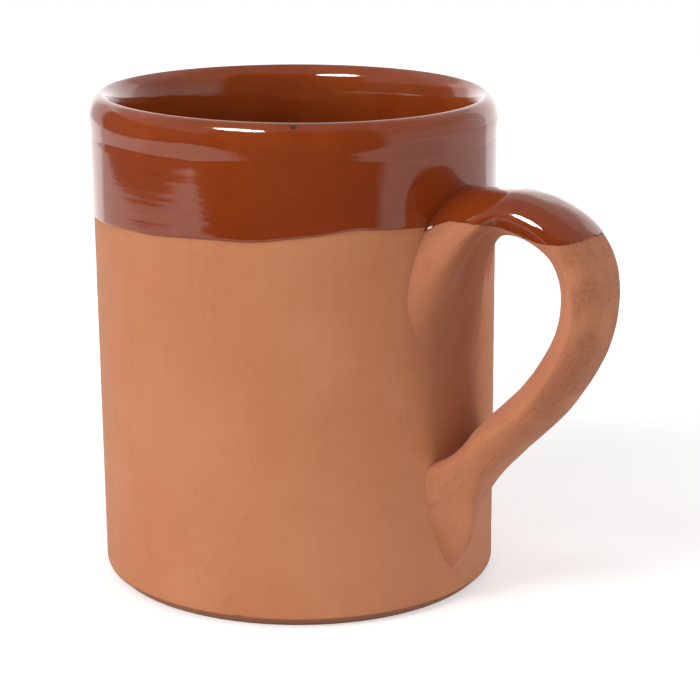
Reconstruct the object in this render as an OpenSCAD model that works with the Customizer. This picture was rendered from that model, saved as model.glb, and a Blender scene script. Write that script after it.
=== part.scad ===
// Hand-thrown clay mug: bare terracotta below, dipped in brown glaze at the top,
// with a pulled strap handle luted to the wall.
// Millimetres. The origin is on the mug's axis at its resting face, +Z is up
// and the handle stands out along +X.

/* [Body] */
// Height of the clay, from the resting face to the top of the lip
body_h = 96.7; // [84:0.1:120]
// Outside diameter of the clay wall
body_d = 79.4; // [66:0.1:100]
// Distance of the lip's crest from the outside of the wall
crest_in = 2.2; // [1.4:0.1:3]
// Height of the rounding outside the lip
lip_rise = 3.9; // [2:0.1:6]
// Depth by which the inside of the lip eases back from the crest to the wall
lip_ease = 3.1; // [2:0.1:4.5]
// Drop over which the inside of the lip eases
ease_drop = 9; // [6:0.1:14]
// Thickness of the clay wall at the floor
wall_t = 4.8; // [3.6:0.1:7]
// Thickness of the floor
floor_t = 6; // [4:0.1:10]
// Radius of the corner between the floor and the wall, inside
corner_r = 8; // [4:0.1:14]
// Height of the bevel round the foot
bevel_h = 1.9; // [0.8:0.1:4]
// Depth by which the bevel draws the foot in
bevel_in = 1.7; // [0.8:0.1:4]

/* [Handle] */
// Reach of the handle from the wall to its outer face
handle_reach = 30.4; // [25:0.1:38]
// Drop from the top of the lip to the middle of the strap where it leaves the wall
handle_drop = 19.6; // [14:0.1:28]
// Height of the middle of the strap where it comes back to the wall
handle_foot_z = 23.4; // [20:0.1:32]
// Width of the pulled strap
strap_w = 16.5; // [12:0.1:22]
// Thickness of the pulled strap
strap_t = 9.2; // [7:0.1:11]

/* [Roots] */
// Flare of the upper root past each edge of the strap
upper_flare = 8; // [5:0.1:12]
// Length of the web that is smeared down the wall under the upper root
web_drop = 25.6; // [14:0.1:29]
// Flare of the lower root past each edge of the strap
lower_flare = 4; // [2:0.1:7]
// Length of the tongue that is thumbed down the wall under the lower root
tongue_drop = 14.8; // [8:0.1:16]
// Thickness of the slip that lutes the handle to the wall
slip_t = 0.6; // [0.4:0.05:1.2]

/* [Glaze] */
// Thickness of the glaze
glaze_t = 0.3; // [0.2:0.05:0.4]
// Depth of the dip on the mug's axis, from the top of the lip
dip_depth = 21.8; // [15:0.1:30]
// Tilt of the dip line, in degrees, rising towards the handle
dip_angle = 1.2; // [0:0.1:4]

/* [Hidden] */

clay_colour = [0.78, 0.50, 0.35];
handle_colour = [0.74, 0.46, 0.32];
slip_colour = [0.66, 0.40, 0.28];
glaze_colour = [0.42, 0.17, 0.08];
lining_colour = [0.36, 0.13, 0.06];

$fn = 96;
overrun = 2;

// The body's profile
wall_r = body_d/2;
crest_r = wall_r - crest_in;
// How fast the inside of the lip eases, and how fast a coat turns from its crest to its side
ease_len_share = 0.55;
ease_power = 0.75;
coat_turn_share = 0.16;
ease_len = ease_len_share*lip_ease;
coat_turn = coat_turn_share*lip_ease;
lip_steps = 10;
ease_steps = 12;
corner_steps = 10;

// The handle's path, in shares of its reach and of its rise, from the upper root to the lower one
outer_share = 0.46;
strap_outer = outer_share*strap_t;
strap_inner = strap_t - strap_outer;
handle_top_z = body_h - handle_drop;
handle_rise = handle_top_z - handle_foot_z;
path_reach = handle_reach - strap_outer;
path_shares = [
  [-0.06, 1.00], [0.455, 1.03], [0.84, 0.955], [1.00, 0.81],
  [0.955, 0.605], [0.70, 0.39], [0.365, 0.215], [-0.06, 0.00]
];
path = [for (p = path_shares) [wall_r + p[0]*path_reach, handle_foot_z + p[1]*handle_rise]];
path_end = len(path) - 1;
// Where the plain strap starts and ends along the path
strap_start_share = 0.135;
strap_end_share = 0.89;
strap_start = strap_start_share*path_end;
strap_end = strap_end_share*path_end;

// The strap's section: a flat outer face, a rounder inner one, and side ridges that drift inwards
outer_power = 1.2;
inner_power = 1.5;
flat_power = 0.8;
ridge_start_share = 0.045;
ridge_fall_share = 0.165;

// The roots, in the places where they meet the wall
upper_root_top = handle_top_z + strap_outer;
upper_root_foot = handle_top_z - strap_inner - web_drop;
lower_root_top_share = 0.73;
lower_root_top = handle_foot_z + lower_root_top_share*strap_t;
lower_root_foot = handle_foot_z - strap_outer - tongue_drop;
// The upper root narrows towards its top, which leaves it this share of its plain width
upper_taper_share = 0.28;
upper_peak_share = 0.866;
// The lower root is a shield: broad shoulders above, drawn down to a tongue
shield_power = 0.92;
tongue_power = 3.1;
// How far the root strands run before they bend, in shares of their own length
wall_pull_share = 0.36;
upper_pull_shares = [0.30, 0.30];
lower_pull_shares = [0.60, 0.12];
straight_pull_share = 0.12;
hub_share = 0.55;
// How straight the strands run, and the angles at which they leave the wall's normal,
// first under the strap's outer face and then under its inner one
upper_plain_shares = [0.80, 0.30];
lower_plain_shares = [0.40, 0.40];
upper_angles = [45, 60];
lower_angles = [58, 20];
// Where the strands change between the two, in shares of the way from the outer face to the inner
upper_bend_shares = [0.55, 0.95];
lower_bend_shares = [0, 0.18];
sink = slip_t;
cap_share = 0.72;
cap_x = wall_r*cap_share;

sides = 32;
strap_rings = 26;
root_rings = 8;

// Height and tilt of the glaze line
dip_z = body_h - dip_depth;
dip_span = 2*(body_d + handle_reach);
band_foot = dip_z - dip_depth;

function signed_power(v, p) = sign(v)*pow(abs(v), p);
function soft_step(ends, x) =
  let (t = min(max((x - ends[0])/(ends[1] - ends[0]), 0), 1)) t*t*(3 - 2*t);
function reversed(list) = [for (i = [len(list) - 1:-1:0]) list[i]];

// The outside of the lip under a coat, from the wall up to just before the crest
function outer_lip(coat) =
  [for (i = [0:lip_steps - 1])
    let (a = 90*i/lip_steps)
    [crest_r + (crest_in + coat)*cos(a), body_h - lip_rise + (lip_rise + coat)*sin(a)]];
// The inside of the lip under a coat, at a drop below the crest
function eased(drop, coat) =
  let (far = lip_ease*(1 - exp(-pow(drop/ease_len, ease_power))), over = exp(-drop/coat_turn))
  [crest_r - far - coat*(1 - over), body_h - drop + coat*over];
// The whole inside under a coat, from the crest down to the middle of the floor
function inner_line(coat) =
  let (top = eased(ease_drop, coat))
  let (slope = (top[0] + coat - wall_r + wall_t)/(top[1] - floor_t), lean = atan(slope))
  let (corner = corner_r - coat, mid_z = floor_t + corner_r)
  let (mid_r = wall_r - wall_t - coat + corner_r*slope - corner/cos(lean))
  concat(
    [for (i = [0:ease_steps]) eased(ease_drop*pow(i/ease_steps, 2), coat)],
    [for (i = [0:corner_steps])
      let (a = -lean - (90 - lean)*i/corner_steps)
      [mid_r + corner*cos(a), mid_z + corner*sin(a)]],
    [[0, floor_t + coat]]
  );

// Smooth curve through the path's points, and its direction
function path_point(i) = path[min(max(i, 0), len(path) - 1)];
function path_knots(u) =
  let (i = min(floor(u), len(path) - 2))
  let (a = path_point(i), b = path_point(i + 1))
  let (before = i == 0 ? 2*a - b : path_point(i - 1))
  let (after = i == len(path) - 2 ? 2*b - a : path_point(i + 2))
  [before, a, b, after, u - i];
function path_at(u) =
  let (k = path_knots(u), t = k[4])
  (2*k[1] + (k[2] - k[0])*t + (2*k[0] - 5*k[1] + 4*k[2] - k[3])*t*t
    + (3*k[1] - k[0] - 3*k[2] + k[3])*t*t*t)/2;
function path_way(u) =
  let (k = path_knots(u), t = k[4])
  let (d = (k[2] - k[0]) + 2*(2*k[0] - 5*k[1] + 4*k[2] - k[3])*t
    + 3*(3*k[1] - k[0] - 3*k[2] + k[3])*t*t)
  d/norm(d);

// A point of the strap's skin: turn 0 is the outer face, 180 the inner one
function ridge_at(u) = strap_t*(ridge_start_share - ridge_fall_share*pow(u/path_end, 2));
function strap_point(u, turn, grow) =
  let (c = path_at(u), way = path_way(u), out = [-way[1], way[0]], ridge = ridge_at(u))
  let (deep = cos(turn) >= 0 ? (strap_outer - ridge + grow)*pow(cos(turn), outer_power)
    : -(strap_inner + ridge + grow)*pow(-cos(turn), inner_power))
  let (across = (strap_w/2 + grow)*signed_power(sin(turn), cos(turn) >= 0 ? flat_power : 1))
  [c[0] + out[0]*(ridge + deep), across, c[1] + out[1]*(ridge + deep)];
function strap_way(u) = let (w = path_way(u)) [w[0], 0, w[1]];

// Outlines of the two roots, just inside the wall
function on_wall(y, z) = [sqrt(pow(wall_r - sink, 2) - y*y), y, z];
function upper_foot(turn, grow) =
  let (mid = (upper_root_top + upper_root_foot)/2, high = (upper_root_top - upper_root_foot)/2 + grow)
  let (wide = (strap_w/2 + upper_flare)/upper_peak_share + grow)
  on_wall(wide*sin(turn)*(1 - upper_taper_share*(1 + cos(turn))/2), mid + high*cos(turn));
function lower_foot(turn, grow) =
  let (wide = strap_w/2 + lower_flare + grow, high = lower_root_top - lower_root_foot + 2*grow)
  on_wall(wide*signed_power(sin(turn), shield_power),
    lower_root_foot - grow + high*(1 - pow((1 + cos(turn))/2, tongue_power)));

// How a strand lies: its angle to the wall's normal, its straightness and its pull along the strap
function between(pair, share) = pair[0] + (pair[1] - pair[0])*share;
function upper_lie(turn) =
  let (inner = soft_step(upper_bend_shares, (1 - cos(turn))/2))
  [between(upper_angles, inner), between(upper_plain_shares, inner), between(upper_pull_shares, inner)];
function lower_lie(turn) =
  let (inner = soft_step(lower_bend_shares, (1 - cos(turn))/2))
  [between(lower_angles, inner), between(lower_plain_shares, inner), between(lower_pull_shares, inner)];

// One strand of a root, from its outline on the wall to the strap's skin
function strand(a, d, hub_z, lie, way, t) =
  let (span = norm(d - a), out = [a[0], a[1], 0]/norm([a[0], a[1]]))
  let (hub = [wall_r, 0, a[2] + (hub_z - a[2])*hub_share], in = (hub - a)/norm(hub - a))
  let (bent = cos(lie[0])*out + sin(lie[0])*in, leave = bent + lie[1]*((d - a)/span - bent))
  let (b = a + leave*span*wall_pull_share, c = d - way*span*between([lie[2], straight_pull_share], lie[1]))
  pow(1 - t, 3)*a + 3*pow(1 - t, 2)*t*b + 3*(1 - t)*t*t*c + t*t*t*d;

function turns() = [for (j = [0:sides - 1]) 360*j/sides];
function upper_ring(t, grow) =
  [for (turn = turns())
    strand(upper_foot(turn, grow), strap_point(strap_start, turn, grow),
      handle_top_z, upper_lie(turn), strap_way(strap_start), t)];
function lower_ring(t, grow) =
  [for (turn = turns())
    strand(lower_foot(turn, grow), strap_point(strap_end, turn, grow),
      handle_foot_z, lower_lie(turn), -strap_way(strap_end), t)];
function capped(ring) = [for (p = ring) [cap_x, p[1], p[2]]];

// All rings of the handle, from inside the wall at the upper root to inside it at the lower one
function handle_rings(grow) = concat(
  [capped(upper_ring(0, grow))],
  [for (i = [0:root_rings - 1]) upper_ring(i/root_rings, grow)],
  [for (i = [0:strap_rings])
    let (u = strap_start + (strap_end - strap_start)*i/strap_rings)
    [for (turn = turns()) strap_point(u, turn, grow)]],
  [for (i = [root_rings - 1:-1:0]) lower_ring(i/root_rings, grow)],
  [capped(lower_ring(0, grow))]
);

module loft(rings) {
  count = len(rings[0]);
  last = (len(rings) - 1)*count;
  polyhedron(
    points = [for (ring = rings) each ring],
    faces = concat(
      [[for (j = [count - 1:-1:0]) j]],
      [for (i = [0:len(rings) - 2], j = [0:count - 1])
        let (k = (j + 1)%count)
        each [
          [i*count + j, (i + 1)*count + k, (i + 1)*count + j],
          [i*count + j, i*count + k, (i + 1)*count + k]
        ]],
      [[for (j = [0:count - 1]) last + j]]
    )
  );
}

// The handle with no end to it, so that it still runs into the wall
module raw_handle(grow = 0) {
  loft(handle_rings(grow));
}

module above_dip() {
  translate([0, 0, dip_z]) rotate([0, -dip_angle, 0])
    translate([-dip_span/2, -dip_span/2, 0]) cube([dip_span, dip_span, body_h]);
}

module thrown_body() color(clay_colour) rotate_extrude() polygon(concat(
  [[0, 0], [wall_r - bevel_in, 0], [wall_r, bevel_h]], outer_lip(0), inner_line(0)
));

module pulled_handle() color(handle_colour) difference() {
  raw_handle();
  cylinder(h = body_h, r = wall_r + slip_t);
}

// The part of the raw handle between two heights that lies in the slip's thickness
module slip_joint(low, high) {
  intersection() {
    raw_handle();
    difference() {
      translate([0, 0, low]) cylinder(h = high - low, r = wall_r + slip_t);
      translate([0, 0, low - overrun]) cylinder(h = high - low + 2*overrun, r = wall_r);
    }
  }
}

module upper_slip_joint() color(slip_colour)
  slip_joint((upper_root_foot + lower_root_top)/2, body_h);

module lower_slip_joint() color(slip_colour)
  slip_joint(0, (upper_root_foot + lower_root_top)/2);

module glaze_lining() color(lining_colour) rotate_extrude() polygon(concat(
  inner_line(glaze_t), reversed(inner_line(0))
));

module rim_glaze_band() color(glaze_colour) difference() {
  intersection() {
    rotate_extrude() polygon(concat(
      [[wall_r + glaze_t, band_foot]], outer_lip(glaze_t), [[crest_r, body_h + glaze_t], [crest_r, body_h]],
      reversed(outer_lip(0)), [[wall_r, band_foot]]
    ));
    above_dip();
  }
  raw_handle();
}

module handle_glaze() color(glaze_colour) difference() {
  intersection() {
    raw_handle(glaze_t);
    above_dip();
  }
  raw_handle();
  cylinder(h = body_h + overrun, r = wall_r + glaze_t);
}

thrown_body();
pulled_handle();
upper_slip_joint();
lower_slip_joint();
glaze_lining();
rim_glaze_band();
handle_glaze();
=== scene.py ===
import math

import bmesh
import bpy
import numpy as np
from mathutils import Matrix, Vector, noise


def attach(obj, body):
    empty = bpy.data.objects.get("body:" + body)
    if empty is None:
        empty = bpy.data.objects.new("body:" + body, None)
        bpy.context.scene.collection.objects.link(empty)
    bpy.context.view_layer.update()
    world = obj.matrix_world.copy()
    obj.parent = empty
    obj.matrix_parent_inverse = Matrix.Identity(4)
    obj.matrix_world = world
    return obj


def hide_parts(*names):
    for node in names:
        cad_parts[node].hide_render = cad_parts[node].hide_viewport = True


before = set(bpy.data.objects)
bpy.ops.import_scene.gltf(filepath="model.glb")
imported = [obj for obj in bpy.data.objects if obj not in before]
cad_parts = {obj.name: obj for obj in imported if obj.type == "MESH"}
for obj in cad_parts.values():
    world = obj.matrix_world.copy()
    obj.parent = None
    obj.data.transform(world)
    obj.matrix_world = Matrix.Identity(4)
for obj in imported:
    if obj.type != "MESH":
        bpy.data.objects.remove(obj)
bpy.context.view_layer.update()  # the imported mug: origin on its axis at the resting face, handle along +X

scene = bpy.context.scene
scene.view_settings.view_transform = "Standard"
mm = 0.001
print("frame loaded:", len(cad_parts), "nodes")

mug = {  # millimetres, the sizes that several pieces share
    "height": 96.7, "wallRadius": 39.7, "wall": 4.8, "floor": 6.0, "corner": 8.0,
    "glaze": 0.3, "segments": 300,
}

handWork = {  # small errors of the potter's hands, the same for every piece
    "lean": 1.1, "leanTurn": 215,
    "oval": 0.14, "ovalTurn": 25,
    "lobe": 0.05, "lobeTurn": 110,
    "stillAt": (4, 30),  # the middle of the floor keeps its place
    "rimWave": 0.10, "rimTurn": 60,
    "rimTilt": 0.48, "rimTiltTurn": 125, "rimTiltFrom": (0.86, 1.0),  # cut a little low towards the camera
    "press": 0.8, "pressTurn": -14, "pressZ": 79.0,  # a thumb pressed the wall beside the upper root
    "pressWide": 9.5, "pressTall": 9.5, "pressFrom": (20, 34), "pressTo": (46, 41),
}


def fullTurn(count):
    return np.linspace(0, 2 * math.pi, count, endpoint=False)


def smoothStep(low, high, x):
    t = np.clip((x - low) / (high - low), 0, 1)
    return t * t * (3 - 2 * t)


def settle(points):  # where a point comes to lie after the errors of the hand
    h = handWork
    x, y, z = points[..., 0], points[..., 1], points[..., 2]
    turn = np.arctan2(y, x)
    reach = np.hypot(x, y)
    rise = np.clip(z / mug["height"], 0, 1.1)
    push = h["oval"] * np.cos(2 * (turn - math.radians(h["ovalTurn"])))
    push += h["lobe"] * np.cos(3 * (turn - math.radians(h["lobeTurn"])))
    push *= rise * smoothStep(*h["stillAt"], reach)
    sideways = (turn - math.radians(h["pressTurn"])) * mug["wallRadius"] / h["pressWide"]
    thumb = sideways ** 2 + ((z - h["pressZ"]) / h["pressTall"]) ** 2
    press = h["press"] * np.exp(-thumb)
    push = push - press * smoothStep(*h["pressFrom"], reach) * smoothStep(*h["pressTo"], reach)
    lift = h["rimWave"] * rise ** 3 * np.cos(2 * (turn - math.radians(h["rimTurn"])))
    tilt = h["rimTilt"] * np.cos(turn - math.radians(h["rimTiltTurn"]))
    lift = lift + tilt * smoothStep(*h["rimTiltFrom"], rise) * np.minimum(reach / mug["wallRadius"], 1)
    scale = (reach + push) / np.maximum(reach, 1e-6)
    lean, towards = h["lean"] * rise, math.radians(h["leanTurn"])
    return np.stack([x * scale + lean * math.cos(towards), y * scale + lean * math.sin(towards),
                     z + lift], axis=-1)


def grain(points, size, seed):  # Perlin noise at a feature size in mm, -1 to 1
    shape = points.shape[:-1]
    flat = points.reshape(-1, 3) / size + seed
    return np.array([noise.noise(p) for p in flat.tolist()]).reshape(shape)


def linkObject(name, data):
    made = bpy.data.objects.new(name, data)
    scene.collection.objects.link(made)
    return made


def meshObject(name, verts, faces, material):
    mesh = bpy.data.meshes.new(name)
    mesh.from_pydata((np.asarray(verts) * mm).tolist(), [], faces)
    mesh.materials.append(material)
    return linkObject(name, mesh)


def finishMesh(made, sharpAngle=40):
    bm = bmesh.new()
    bm.from_mesh(made.data)
    bmesh.ops.remove_doubles(bm, verts=bm.verts, dist=1e-7)
    bmesh.ops.recalc_face_normals(bm, faces=bm.faces)
    bm.to_mesh(made.data)
    bm.free()
    made.data.shade_smooth()
    made.data.set_sharp_from_angle(angle=math.radians(sharpAngle))
    made.data.update()


def reshape(made, rule):  # moves a finished mesh's points by a rule written in mm
    count = len(made.data.vertices)
    flat = np.empty(count * 3)
    made.data.vertices.foreach_get("co", flat)
    moved = rule(flat.reshape(-1, 3) / mm) * mm
    made.data.vertices.foreach_set("co", moved.ravel())
    made.data.update()


def nodeAdd(tree, kind, links=None, **settings):
    node = tree.nodes.new(kind)
    for key, value in settings.items():
        setattr(node, key, value)
    for socket, value in (links or {}).items():
        if isinstance(value, bpy.types.NodeSocket):
            tree.links.new(value, node.inputs[socket])
        elif value is not None:
            node.inputs[socket].default_value = value
    return node


def mathAdd(tree, operation, a, b=None, clamp=False):
    return nodeAdd(tree, "ShaderNodeMath", {0: a, 1: b}, operation=operation, use_clamp=clamp).outputs[0]


def plus(tree, a, b):
    return mathAdd(tree, "ADD", a, b)


def minus(tree, a, b):
    return mathAdd(tree, "SUBTRACT", a, b)


def times(tree, a, b):
    return mathAdd(tree, "MULTIPLY", a, b)


def vectorAdd(tree, operation, a, b=None):
    made = nodeAdd(tree, "ShaderNodeVectorMath", {0: a, 1: b}, operation=operation).outputs
    return made["Value"] if operation in ("LENGTH", "DISTANCE", "DOT_PRODUCT") else made[0]


def splitAdd(tree, vector):
    return nodeAdd(tree, "ShaderNodeSeparateXYZ", {0: vector}).outputs


def joinAdd(tree, x, y, z):
    return nodeAdd(tree, "ShaderNodeCombineXYZ", {"X": x, "Y": y, "Z": z}).outputs[0]


def noiseAdd(tree, vector, scale, detail=2.0, rough=0.5):
    values = {"Vector": vector, "Scale": scale, "Detail": detail, "Roughness": rough}
    return nodeAdd(tree, "ShaderNodeTexNoise", values).outputs[0]


def rangeAdd(tree, value, low, high, newLow=0.0, newHigh=1.0, smooth=True):
    values = {"Value": value, "From Min": low, "From Max": high, "To Min": newLow, "To Max": newHigh}
    kind = "SMOOTHSTEP" if smooth else "LINEAR"
    return nodeAdd(tree, "ShaderNodeMapRange", values, interpolation_type=kind).outputs[0]


def stretchAdd(tree, vector, scale):
    return nodeAdd(tree, "ShaderNodeMapping", {"Vector": vector, "Scale": scale}).outputs[0]


def mixAdd(tree, factor, a, b, blend="MIX"):
    links = {0: factor, 6: a, 7: b}  # the sockets that mix colours
    return nodeAdd(tree, "ShaderNodeMix", links, data_type="RGBA", blend_type=blend).outputs[2]


def shadeAdd(tree, shade, given, rows):  # rows: a mask, where it starts and is full, its share, its tone
    for mask, low, high, share, towards in rows:
        shade = mixAdd(tree, times(tree, rangeAdd(tree, mask, low, high), share), shade, given[towards])
    return shade


def layersAdd(tree, rows):  # rows: a texture, its depth, and a socket that weighs it, if any
    total = None
    for part, *amounts in rows:
        for amount in amounts:
            part = times(tree, part, amount)
        total = part if total is None else plus(tree, total, part)
    return total


def texturesAdd(tree, place, look, *names):
    for name in names:
        scale, *rest = look[name]
        if isinstance(scale, tuple):  # stretched
            yield noiseAdd(tree, stretchAdd(tree, place, scale), 1, *rest)
        else:
            yield noiseAdd(tree, place, scale, *rest)


def groupStart(name, ins, outs):
    tree = bpy.data.node_groups.new(name, "ShaderNodeTree")
    for label, kind, value in ins:
        socket = tree.interface.new_socket(label, in_out="INPUT", socket_type=kind)
        socket.default_value = value
    for label, kind in outs:
        tree.interface.new_socket(label, in_out="OUTPUT", socket_type=kind)
    return tree, tree.nodes.new("NodeGroupInput").outputs, tree.nodes.new("NodeGroupOutput").inputs


number, colour, vector = "NodeSocketFloat", "NodeSocketColor", "NodeSocketVector"
surfaceOut = [("Color", colour), ("Roughness", number), ("Height", number)]

clayLook = {  # a texture: its scale per metre, alike or along x, y and z, its detail and its roughness
    "clouds": (42, 3, 0.55), "blotch": (150, 3, 0.6), "smudge": (95, 2, 0.5), "fine": (1400, 2, 0.6),
    "rings": ((14, 14, 620), 2, 0.6), "strokes": ((420, 420, 26), 2, 0.6), "drag": (1, 3, 0.6),
    "torn": ((1500, 800, 1500), 3, 0.65), "tornFrom": 0.48, "tornTo": 0.66,
    "footEdge": 0.0004, "footShadeTone": (0.55, 0.48, 0.46, 1),  # painted shade: the bevel, which faces the floor, is darker than the wall
    "rough": 0.74, "roughBlotch": 0.18,
}


def makeClayGroup():
    s = clayLook
    tree, given, out = groupStart(
        "firedClay",
        [("Clay", colour, (0.6, 0.25, 0.13, 1)), ("Pale", colour, (0.68, 0.33, 0.2, 1)),
         ("Deep", colour, (0.45, 0.16, 0.08, 1)), ("Rings", number, 1.0), ("Strokes", number, 1.0),
         ("Drag", number, 0.5), ("TornShade", number, 0.0), ("FootShade", number, -1.0)], surfaceOut)
    place = tree.nodes.new("ShaderNodeTexCoord").outputs["Object"]
    clouds, blotch, smudge, fine, rings, strokes, torn = texturesAdd(
        tree, place, s, "clouds", "blotch", "smudge", "fine", "rings", "strokes", "torn")
    torn = times(tree, rangeAdd(tree, torn, s["tornFrom"], s["tornTo"]), given["TornShade"])
    drag, tornShade, shadeTop = given["Drag"], given["TornShade"], given["FootShade"]
    warm = shadeAdd(tree, given["Clay"], given, [
        (clouds, 0.35, 0.68, 1.0, "Pale"),
        (blotch, 0.52, 0.80, 0.18, "Deep"),
        (smudge, 0.66, 0.78, 0.22, "Deep"),
        (strokes, 0.50, 0.78, times(tree, given["Strokes"], 0.22), "Deep"),
        (rings, 0.50, 0.75, times(tree, given["Rings"], 0.20), "Pale"),
        (fine, 0.45, 0.75, 0.12, "Deep"),
        (drag, 0.54, 0.74, 0.34, "Deep"),
        (drag, 0.46, 0.28, 0.40, "Pale"),
        # a flat painted shade over the strap's stretched outer face; the torn texture below is the skin's own
        (tornShade, 0.0, 1.0, 0.32, "Deep"),
        (torn, 0.0, 1.0, 0.34, "Deep")])
    # the bevel under the wall is darkened below a height: painted shade where it faces the floor
    foot = rangeAdd(tree, splitAdd(tree, place)["Z"], shadeTop, minus(tree, shadeTop, s["footEdge"]))
    warm = mixAdd(tree, foot, warm, mixAdd(tree, 1.0, warm, s["footShadeTone"], "MULTIPLY"))
    tree.links.new(warm, out["Color"])
    rough = plus(tree, s["rough"], times(tree, blotch, s["roughBlotch"]))
    tree.links.new(rough, out["Roughness"])
    height = layersAdd(tree, [(fine, 0.30), (rings, 0.45, given["Rings"]),
                              (strokes, 0.30, given["Strokes"]), (drag, 0.9), (torn, -0.5)])
    tree.links.new(height, out["Height"])
    return tree


glazeLook = {
    "clouds": (70, 3, 0.5), "fine": (900, 2, 0.6),
    "runs": ((330, 330, 40), 2, 0.5), "ripples": ((25, 25, 650), 2, 0.5),
    "gloss": 0.045, "glossFine": 0.05,
    "pinEdge": 0.0014, "pinFull": 0.0006, "pinRagged": 0.0010,  # a pinhole: bare clay, burnt dark
    "pinTone": (0.05, 0.02, 0.009, 1),
}


def makeGlazeGroup():
    s = glazeLook
    tree, given, out = groupStart(
        "brownGlaze",
        [("Thin", colour, (0.42, 0.13, 0.035, 1)), ("Full", colour, (0.26, 0.05, 0.012, 1)),
         ("LowTone", colour, (0.10, 0.018, 0.004, 1)), ("Crest", number, 0.0967), ("Fall", number, 0.05),
         ("Pinhole", vector, (0, 0, -1))], surfaceOut)
    place = tree.nodes.new("ShaderNodeTexCoord").outputs["Object"]
    clouds, fine, runs, ripples = texturesAdd(tree, place, s, "clouds", "fine", "runs", "ripples")
    drop = minus(tree, given["Crest"], splitAdd(tree, place)["Z"])
    depth = mathAdd(tree, "DIVIDE", drop, given["Fall"], clamp=True)
    body = shadeAdd(tree, given["Full"], given, [
        (clouds, 0.38, 0.72, 1.0, "Thin"), (runs, 0.45, 0.75, 0.4, "Full")])
    # darker further below the crest; in the lining this is painted shade deeper in the cup
    body = mixAdd(tree, depth, body, given["LowTone"])
    body = shadeAdd(tree, body, given, [(fine, 0.5, 0.8, 0.25, "LowTone")])
    away = plus(tree, vectorAdd(tree, "DISTANCE", place, given["Pinhole"]), times(tree, fine, s["pinRagged"]))
    body = mixAdd(tree, rangeAdd(tree, away, s["pinEdge"], s["pinFull"]), body, s["pinTone"])
    tree.links.new(body, out["Color"])
    tree.links.new(plus(tree, s["gloss"], times(tree, fine, s["glossFine"])), out["Roughness"])
    tree.links.new(layersAdd(tree, [(clouds, 0.7), (runs, 0.3), (ripples, 0.22)]), out["Height"])
    return tree


clayGroup = makeClayGroup()
glazeGroup = makeGlazeGroup()
claySurface = {"ior": 1.45, "specular": 0.25, "dust": 0.15}  # dust: the pale edge of bare, powdery clay
glazeSurface = {"ior": 1.6, "specular": 0.5, "dust": 0.0}


def finishMaterial(name, group, surface, bump, values):
    material = bpy.data.materials.new(name)
    material.use_nodes = True
    tree = material.node_tree
    shader = tree.nodes["Principled BSDF"]
    effect = tree.nodes.new("ShaderNodeGroup")
    effect.node_tree = group
    for label, value in values.items():
        effect.inputs[label].default_value = value
    relief = nodeAdd(tree, "ShaderNodeBump",
                     {"Strength": 1.0, "Distance": bump, "Height": effect.outputs["Height"]})
    tree.links.new(effect.outputs["Color"], shader.inputs["Base Color"])
    tree.links.new(effect.outputs["Roughness"], shader.inputs["Roughness"])
    tree.links.new(relief.outputs["Normal"], shader.inputs["Normal"])
    shader.inputs["IOR"].default_value = surface["ior"]
    shader.inputs["Specular IOR Level"].default_value = surface["specular"]
    shader.inputs["Sheen Weight"].default_value = surface["dust"]
    material.diffuse_color = values.get("Clay", values.get("Full"))
    return material


def tone(red, green, blue):  # screen colour, 0 to 255, as a linear one
    def straight(v):
        v /= 255
        return v / 12.92 if v <= 0.04045 else ((v + 0.055) / 1.055) ** 2.4
    return (straight(red), straight(green), straight(blue), 1.0)


# the body's last value is the height under which the bevel gets painted shade
bodyClay = finishMaterial("bareClay", clayGroup, claySurface, bump=0.00014, values={
    "Clay": tone(196, 126, 86), "Pale": tone(202, 134, 95), "Deep": tone(168, 100, 66),
    "Rings": 0.7, "Strokes": 0.5, "FootShade": 0.0021})
handleClay = finishMaterial("pulledClay", clayGroup, claySurface, bump=0.00016, values={
    "Clay": tone(193, 123, 87), "Pale": tone(202, 133, 96), "Deep": tone(152, 89, 62),
    "Rings": 0.2, "Strokes": 0.2})
slipClay = finishMaterial("wipedSlip", clayGroup, claySurface, bump=0.00014, values={
    "Clay": tone(195, 125, 88), "Pale": tone(202, 134, 97), "Deep": tone(164, 97, 67),
    "Rings": 0.1, "Strokes": 0.9})
dipGlaze = finishMaterial("dippedGlaze", glazeGroup, glazeSurface, bump=0.00006, values={
    "Thin": tone(151, 67, 25), "Full": tone(140, 57, 20), "LowTone": tone(132, 52, 17),
    "Fall": 0.030, "Pinhole": (0.0212, -0.0322, 0.0959)})
# the lining's low tone, darker deeper in the cup, is painted shade
liningGlaze = finishMaterial("pouredGlaze", glazeGroup, glazeSurface, bump=0.00006, values={
    "Thin": tone(152, 69, 26), "Full": tone(141, 60, 21), "LowTone": tone(113, 42, 13),
    "Fall": 0.045})


def readHandMarks(material):  # marks kept on the handle's mesh drive its drag lines and tears, and the painted shade on its outer face
    tree = material.node_tree
    effect = next(node for node in tree.nodes if node.type == "GROUP")
    pulled = nodeAdd(tree, "ShaderNodeAttribute", attribute_name="pulled").outputs["Vector"]
    tree.links.new(noiseAdd(tree, pulled, *clayLook["drag"]), effect.inputs["Drag"])
    stretchedShade = nodeAdd(tree, "ShaderNodeAttribute", attribute_name="stretchedShade").outputs["Fac"]
    tree.links.new(stretchedShade, effect.inputs["TornShade"])


readHandMarks(handleClay)
print("clay and glaze materials made")


def straightRun(start, end, count):  # points from start up to, but not at, end
    return [(start[0] + (end[0] - start[0]) * i / count, start[1] + (end[1] - start[1]) * i / count)
            for i in range(count)]


def roundRun(centre, radius, fromAngle, toAngle, count):
    turns = [math.radians(fromAngle + (toAngle - fromAngle) * i / count) for i in range(count)]
    return [(centre[0] + radius * math.cos(a), centre[1] + radius * math.sin(a)) for a in turns]


wheel = {
    "ringRound": 0.7,  # how much a throwing ring changes on its way round
    "ringsFrom": 0.012, "ringsFull": 0.03, "weld": 1e-6,  # metres, the first two from the axis
}


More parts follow.
